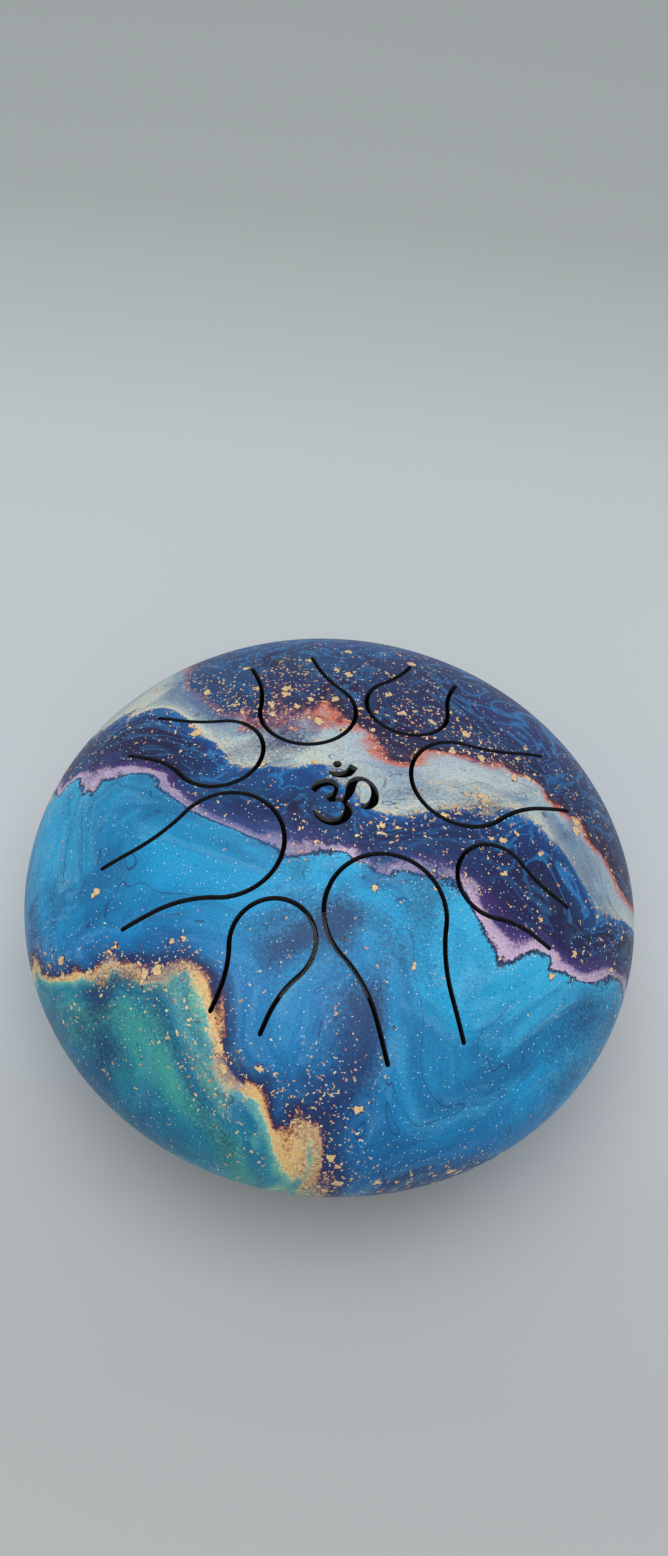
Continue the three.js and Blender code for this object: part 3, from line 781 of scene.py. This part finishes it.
flatRadius = np.hypot(flat[:, 0], flat[:, 1])
outerPoints = np.column_stack([flat, rimHeight + bowlHeight(drum["topRise"], flatRadius)])
innerPoints = np.column_stack([flat, rimHeight + innerHeight(flatRadius)])
outerNormals = bowlNormal(drum["topRise"], flat)
topSkins = [Skin() for _ in range(len(cuts) + 1)]
for number, skin in enumerate(topSkins):
    used = np.unique(triangles[owner == number])
    place = {int(v): i for i, v in enumerate(used)}
    top, low = skin.add(outerPoints[used]), skin.add(innerPoints[used])
    for face in triangles[owner == number]:
        face = [int(v) for v in face]
        skin.face([top + place[v] for v in face], [outerNormals[v] for v in face], printSlot)
        skin.face([low + place[v] for v in face[::-1]], [-outerNormals[v] for v in face[::-1]], insideSlot)


def wall(skin, ids, side, edgeLoops, wallSlot=edgeSlot):
    # Rounded edge, wall and lower lip of a cut; the loops run with the steel on their left
    at = [became[i] for i in ids]
    up = outerNormals[at]
    outward = np.column_stack([side, np.zeros(len(side))])
    rows, normals = [], []
    for turn, plan in edgeLoops:
        radius = np.hypot(plan[:, 0], plan[:, 1])
        drop = rounding * (1 - math.cos(turn))
        rows.append(np.column_stack([plan, rimHeight + bowlHeight(drum["topRise"], radius) - drop]))
        mixed = up * math.cos(turn) + outward * math.sin(turn)
        normals.append(mixed / np.linalg.norm(mixed, axis=1)[:, None])
    plan = edgeLoops[-1][1]
    rows.append(np.column_stack([plan, rimHeight + innerHeight(np.hypot(plan[:, 0], plan[:, 1]))]))
    normals.append(outward)
    rows.append(innerPoints[at])
    normals.append(-up)
    starts = [skin.add(row) for row in rows]
    for level, slot in enumerate((printSlot, wallSlot, wallSlot, wallSlot, insideSlot)):
        for i in range(len(ids) - 1):
            around = ((level, i + 1), (level, i), (level + 1, i), (level + 1, i + 1))
            skin.face([starts[row] + j for row, j in around], [normals[row][j] for row, j in around], slot)
    return np.array(rows)


def closeRoot(skin, line, ends, facing):
    # Closes the steel where a tongue is joined to the bowl; ends are the points down the slot's two walls,
    # and facing is the way out of the bowl's steel
    at = [became[i] for i in line]
    upper, lower = skin.add(outerPoints[at]), skin.add(innerPoints[at])
    faces = [[upper + i, upper + i + 1, lower + i + 1, lower + i] for i in range(len(line) - 1)]
    for side, points in zip((-1, 1), ends):
        start = skin.add(points)
        faces.append(list(range(start, start + len(points)))[::side])
    for corners in faces:
        if skin is topSkins[0]:
            skin.face(corners[::-1], [facing] * len(corners), insideSlot)
        else:
            skin.face(corners, [-facing] * len(corners), insideSlot)


turns = [0, math.radians(35), math.radians(65), math.pi / 2]     # round a cut's rounded edge
for number, cut in enumerate(cuts, 1):
    ids, count = slotEdges[number - 1], innerCounts[number - 1]
    loops = [(turn, slotLoop(cut, halfSlot + rounding * (1 - math.sin(turn)))[0]) for turn in turns]
    side = smoothSides(loops[-1][1])
    rows = wall(topSkins[number], ids[:count], side[:count], [(turn, loop[:count]) for turn, loop in loops])
    line = [ids[0]] + chords[number - 1] + [ids[count - 1]]
    inward = -np.append(spun(np.array([[1.0, 0.0]]), cut[0])[0], 0.0)
    for skin in (topSkins[number], topSkins[0]):
        closeRoot(skin, line, (rows[:, 0], rows[:, -1]), inward)
    rest = list(range(count - 1, len(ids))) + [0]
    wall(topSkins[0], [ids[i] for i in rest], side[rest], [(turn, loop[rest]) for turn, loop in loops])
for ids, ring in zip(signEdges, signRings):
    around = list(range(len(ids))) + [0]
    side = cornerSides(ring)
    loops = [(turn, (ring + side * rounding * math.sin(turn))[around]) for turn in turns]
    wall(topSkins[0], [ids[i] for i in around], side[around], loops, wallSlot=signSlot)

# the turned part of the top bowl, from the flat part's inner edge round the rim to its outer edge
joinAngle = math.asin(drum["flatPart"] / drum["radius"])
rimAngle = math.acos(drum["weldHalf"] / drum["topRise"])
innerStart = np.interp(drum["flatPart"], topInside[:, 0], quarterTurn)
inside = bowlArc(drum["topRise"], innerStart, rimAngle, drum["topRows"][0], drum["steel"])
outside = bowlArc(drum["topRise"], rimAngle, joinAngle, drum["topRows"][1], 0)
seam = [(drum["radius"] - depth, drum["seamHalf"]) for depth in (drum["steel"], drum["weldDepth"])]
profile = np.vstack([inside, seam, outside]) + (0, rimHeight)
profile[0] = drum["flatPart"], rimHeight + innerHeight(drum["flatPart"])
joinNormal = bowlNormal(drum["topRise"], np.array([[drum["flatPart"], 0.0]]))[0][[0, 2]]
slots = [insideSlot] * (len(inside) + 1) + [printSlot] * len(outside)
turned(topSkins[0], profile, slots[:len(profile) - 1], drum["around"], ends=(-joinNormal, joinNormal))

topBowl = makePiece("topBowl", topSkins[0], bowlFinishes + [signEdgePaintedLight])
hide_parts("top_shell")
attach(topBowl, "shell")
for number, cut in enumerate(cuts, 1):
    tongue = makePiece("tongue%d" % number, topSkins[number], bowlFinishes)
    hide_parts("tongue_%d" % number)
    # the points of the root and of the end of the bend are found but not used
    root, tip = tongueCuts["field"] * cut[2] / 100, tongueCuts["field"] * cut[1] / 100
    for radius in (root, root - tongueCuts["bend"] * (root - tip)):
        x, y = spun(np.array([[radius, 0.0]]), cut[0])[0]
    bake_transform(tongue)
print("top bowl and tongues made")


# Weld and bottom bowl

weldSkin = Skin()
upper = bowlArc(drum["topRise"], math.pi / 2, rimAngle, drum["weldRows"], 0)
lowAngle = math.acos(drum["weldHalf"] / drum["bottomRise"])
lower = bowlArc(drum["bottomRise"], lowAngle, math.pi / 2, drum["weldRows"], 0) * (1, -1)
root = (drum["radius"] - drum["weldDepth"], 0.0)
profile = np.vstack([[root], lower, upper[1:], [root]]) + (0, rimHeight)
turned(weldSkin, profile, [printSlot] * (len(profile) - 1), drum["around"])
groundWeld = makePiece("groundWeld", weldSkin, [groundWeldLacquer])
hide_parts("rim_weld")
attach(groundWeld, "shell")

bottomSkin = Skin()
portAngle = math.asin((drum["portRadius"] + rounding) / drum["radius"])
outside = bowlArc(drum["bottomRise"], portAngle, lowAngle, drum["bottomRows"][1], 0) * (1, -1)
portInside = np.interp(drum["portRadius"], bottomInside[:, 0], quarterTurn)
inside = bowlArc(drum["bottomRise"], lowAngle, portInside, drum["bottomRows"][0], drum["steel"]) * (1, -1)
edge = []
for turn in turns[1:]:
    radius = drum["portRadius"] + rounding * (1 - math.sin(turn))
    edge.append((radius, -float(bowlHeight(drum["bottomRise"], radius)) + rounding * (1 - math.cos(turn))))
seam = [(drum["radius"] - depth, -drum["seamHalf"]) for depth in (drum["weldDepth"], drum["steel"])]
profile = np.vstack([inside[-1], edge[::-1], outside, seam, inside]) + (0, rimHeight)
slots = [edgeSlot] * 2 + [printSlot] * (len(outside) + 1) + [insideSlot] * (len(seam) + len(inside))
turned(bottomSkin, profile, slots[:len(profile) - 1], drum["around"])
bottomBowl = makePiece("bottomBowl", bottomSkin, bowlFinishes)
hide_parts("bottom_shell")
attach(bottomBowl, "shell")
print("bottom bowl made")


# Feet, washers and screws

rubberFoot = {
    "firstAngle": -90,      # degrees from +X, the foot at the front
    "circle": 40.0,         # radius of the circle that the feet stand on
    "radius": 9.0,
    "soleRadius": 7.8,
    "pocketDepth": 5.2,
    "pocketRadius": 4.8,
    "bore": 2.15,
    "around": 72,           # facets round it
    # moulded EPDM rubber: matt, with a fine spark-eroded grain that greys the black at a glance
    "coat": {"dark": "151516", "pale": "242425", "size": 4.0, "detail": 3.0, "roughness": 0.75},
    "grain": 0.35, "grainBump": 0.3,
}
footWasher = {
    "radius": 4.5,
    "thickness": 1.25,
    "play": 0.1,            # round the screw's thread
    "rounding": 0.12,
    "around": 64,
}
footScrew = {
    "headRadius": 4.0,
    "headHeight": 2.5,
    "crownHeight": 1.5, "crownSteps": 8,
    "headRounding": 0.15,
    "threadRadius": 2.0,
    "threadDepth": 0.35,
    "pitch": 0.7,
    "plain": 2.0,           # the thread starts this far below the bowl
    "reach": 3.0,           # past the inside of the bottom bowl
    "point": 0.8,
    "around": 48,
    "recess": [             # height over the crown, half length and half width of the cross
        (-0.5, 2.3, 0.55), (1.7, 1.0, 0.3),
    ],
    "turns": (18, 49, 80),  # degrees at which each screw stopped, one for each foot
    # bright zinc plate on steel: a cool grey metal with faint clouds where it was handled
    "coat": {"dark": "a9adb2", "pale": "c9ccd0", "size": 2.5, "detail": 3.0, "roughness": 0.32},
    "handled": 0.1,         # how far the clouds change its roughness
}


def rubberFinish():
    material, tree, shader, inMm, _ = mottledFinish("mouldedRubber", rubberFoot["coat"])
    grain = add(tree, "TexNoise", {"Vector": inMm, "Scale": 1 / rubberFoot["grain"], "Detail": 2.0})
    bump = add(tree, "Bump", {"Height": grain, "Strength": rubberFoot["grainBump"], "Distance": 0.1 * mm})
    tree.links.new(bump.outputs[0], shader.inputs["Normal"])
    return material


def zincFinish():
    material, tree, shader, _, cloud = mottledFinish("brightZincPlate", footScrew["coat"])
    middle, either = footScrew["coat"]["roughness"], footScrew["handled"]
    rough = add(tree, "MapRange", {"Value": (cloud, "Fac"), "To Min": middle - either,
                                   "To Max": middle + either})
    tree.links.new(rough.outputs[0], shader.inputs["Roughness"])
    shader.inputs["Metallic"].default_value = 1.0
    return material


rubber, zinc = rubberFinish(), zincFinish()
headTop = rubberFoot["pocketDepth"] - footWasher["thickness"]     # the head bears on the washer
crownAt = headTop - footScrew["headHeight"]
bowlOverFoot = float(underside(rubberFoot["circle"]))


def footSkin(centre):
    f = rubberFoot
    steps = [   # radius, height, and whether the height is over the bowl's underside
        (f["bore"], -0.02, 1), (f["bore"], f["pocketDepth"], 0), (f["pocketRadius"], f["pocketDepth"], 0),
        (f["pocketRadius"], 0.5, 0), (f["pocketRadius"] + 0.15, 0.15, 0), (f["pocketRadius"] + 0.5, 0.0, 0),
        (f["soleRadius"] - 0.8, 0.0, 0), (f["soleRadius"] - 0.3, 0.12, 0), (f["soleRadius"] - 0.06, 0.4, 0),
        (f["soleRadius"] + 0.05, 0.8, 0), (f["radius"] - 0.15, f["pocketDepth"] - 0.7, 0),
        (f["radius"] - 0.02, f["pocketDepth"] - 0.2, 0), (f["radius"], f["pocketDepth"] + 0.3, 0),
        (f["radius"], -0.35, 1), (f["radius"] - 0.1, -0.12, 1), (f["radius"] - 0.35, -0.02, 1),
        (f["bore"], -0.02, 1),
    ]
    skin = Skin()
    profile, overBowl = [step[:2] for step in steps], [step[2] for step in steps]
    turned(skin, profile, [0] * (len(steps) - 1), f["around"], centre=centre, follow=overBowl)
    return skin


def washerSkin(centre):
    bore = footScrew["threadRadius"] + footWasher["play"]
    outer, e = footWasher["radius"], footWasher["rounding"]
    top, low = rubberFoot["pocketDepth"], headTop
    profile = [
        (bore, top), (bore, low + e), (bore + e, low), (outer - e, low), (outer, low + e), (outer, top - e),
        (outer - e, top), (bore, top),
    ]
    skin = Skin()
    turned(skin, profile, [0] * (len(profile) - 1), footWasher["around"], centre=centre)
    return skin


def screwSkin(centre):
    f = footScrew
    tip = bowlOverFoot + drum["steel"] + f["reach"]
    profile = [(0.0, crownAt)]
    for turn in np.linspace(0.15, 1, f["crownSteps"]) * math.pi / 2:     # the domed head
        profile.append((f["headRadius"] * math.sin(turn), crownAt + f["crownHeight"] * (1 - math.cos(turn))))
    profile.append((f["headRadius"], headTop - f["headRounding"]))
    profile.append((f["headRadius"] - f["headRounding"], headTop))
    height = bowlOverFoot - f["plain"]
    profile += [(f["threadRadius"], headTop), (f["threadRadius"], height)]
    while height + f["pitch"] < tip - f["point"]:     # the thread, drawn as rings
        profile.append((f["threadRadius"] - f["threadDepth"], height + 0.5 * f["pitch"]))
        profile.append((f["threadRadius"], height + f["pitch"]))
        height += f["pitch"]
    profile += [(f["threadRadius"] - f["point"], tip), (0.0, tip)]
    skin = Skin()
    turned(skin, profile, [0] * (len(profile) - 1), f["around"], centre=centre)
    return skin


def cutRecess(screw, centre, stopped):
    # A cross recess in the head, cut by a tapered cross
    cross = bpy.data.meshes.new("recess")
    points = []
    for height, long, wide in footScrew["recess"]:
        corner = np.array([(long, -wide), (long, wide), (wide, wide)])
        for turn in (0, 90, 180, 270):
            points += [((centre[0] + x) * mm, (centre[1] + y) * mm, (crownAt + height) * mm)
                       for x, y in spun(corner, turn + stopped)]
    count = len(points) // 2
    faces = [list(range(count - 1, -1, -1)), list(range(count, 2 * count))]
    faces += [[i, (i + 1) % count, count + (i + 1) % count, count + i] for i in range(count)]
    cross.from_pydata(points, [], faces)
    cutter = bpy.data.objects.new("recess", cross)
    bpy.context.scene.collection.objects.link(cutter)
    cut = screw.modifiers.new("recess", "BOOLEAN")
    cut.operation, cut.object, cut.solver = "DIFFERENCE", cutter, "EXACT"
    graph = bpy.context.evaluated_depsgraph_get()
    made = bpy.data.meshes.new_from_object(screw.evaluated_get(graph))
    screw.modifiers.clear()
    screw.data = made
    made.set_sharp_from_angle(angle=sharpEdge)
    bpy.data.objects.remove(cutter)


for number, stopped in enumerate(footScrew["turns"], 1):
    angle = math.radians(rubberFoot["firstAngle"] + 360 / len(footScrew["turns"]) * (number - 1))
    centre = (rubberFoot["circle"] * math.cos(angle), rubberFoot["circle"] * math.sin(angle))
    for name, node, skin, finish, slotName in (
        ("foot%d", "foot_%d", footSkin(centre), rubber, "black_rubber"),
        ("footWasher%d", "foot_washer_%d", washerSkin(centre), zinc, "zinc_plate"),
        ("footScrew%d", "foot_screw_%d", screwSkin(centre), zinc, "zinc_plate"),
    ):
        piece = makePiece(name % number, skin, [finish], ownNormals=False)
        if node == "foot_screw_%d":
            cutRecess(piece, centre, stopped)
        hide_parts(node % number)
        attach(piece, "shell")
print("feet made")


# Floor, light and camera

studio = {
    # the sheet's colour from front to back in mm, with painted light beside the drum, where it lifts the
    # drum's shadow, and painted shade far behind it
    "paperPaintedLightAndShade": [(-300, "b1b3b2"), (-110, "b1b3b4"), (-60, "b6babc"), (-30, "c0c5c8"), (10, "c8ced2"),
              (80, "c1c7cb"), (200, "bbc4c4"), (260, "b0b8b8"), (330, "a3a9a9"), (450, "a2a8a8")],
    "sheetHalf": 1.6, "sheetTop": -0.00005,          # in metres, just clear of the soles
    "world": "e8eaeb", "worldLight": 0.80,
    "lampPower": 4.9, "lampSize": 0.9,
    "lampPlace": (-0.04, -0.15, 1.0), "lampAim": (0.0, 0.0, 0.04),
    "lens": 37.0, "sensor": 36.0,
    "cameraPlace": (-0.01225, -0.20320, 0.38720),    # metres
    "cameraTurn": (34.4074, -4.2075, 3.6019),        # degrees
}


def paperFinish():
    # Matt card: pale, with painted light and shade in its colour from front to back
    material, tree, shader, inMm = newMaterial("mattCard")
    split = add(tree, "SeparateXYZ", {0: inMm})
    low, high = studio["paperPaintedLightAndShade"][0][0], studio["paperPaintedLightAndShade"][-1][0]
    along = add(tree, "MapRange", {"Value": (split, "Y"), "From Min": low, "From Max": high})
    shade = add(tree, "ValToRGB", {"Fac": along}, stops=spread(studio["paperPaintedLightAndShade"]))
    tree.links.new(shade.outputs[0], shader.inputs["Base Color"])
    shader.inputs["Roughness"].default_value = 0.9
    return material


sheetMesh = bpy.data.meshes.new("cardSheet")
corners = [(x * studio["sheetHalf"], y * studio["sheetHalf"], studio["sheetTop"])
           for x, y in ((-1, -1), (1, -1), (1, 1), (-1, 1))]
sheetMesh.from_pydata(corners, [], [(0, 1, 2, 3)])
sheetMesh.materials.append(paperFinish())
cardSheet = bpy.data.objects.new("cardSheet", sheetMesh)
bpy.context.scene.collection.objects.link(cardSheet)

world = bpy.data.worlds.new("studioAir")
world.use_nodes = True
world.node_tree.nodes["Background"].inputs["Color"].default_value = linear(studio["world"])
world.node_tree.nodes["Background"].inputs["Strength"].default_value = studio["worldLight"]
bpy.context.scene.world = world

lampData = bpy.data.lights.new("softbox", "AREA")
lampData.energy, lampData.size = studio["lampPower"], studio["lampSize"]
softbox = bpy.data.objects.new("softbox", lampData)
softbox.location = studio["lampPlace"]
shining = Vector(studio["lampAim"]) - Vector(studio["lampPlace"])
softbox.rotation_euler = shining.to_track_quat("-Z", "Y").to_euler()
bpy.context.scene.collection.objects.link(softbox)

cameraData = bpy.data.cameras.new("photoView")
cameraData.lens, cameraData.sensor_width, cameraData.sensor_fit = studio["lens"], studio["sensor"], "AUTO"
cameraData.clip_start = 0.01
photoView = bpy.data.objects.new("photoView", cameraData)
photoView.location = studio["cameraPlace"]
photoView.rotation_euler = Euler([math.radians(turn) for turn in studio["cameraTurn"]], "XYZ")
bpy.context.scene.collection.objects.link(photoView)
bpy.context.scene.camera = photoView
bpy.context.scene.view_settings.view_transform = "Standard"
print("studio set")
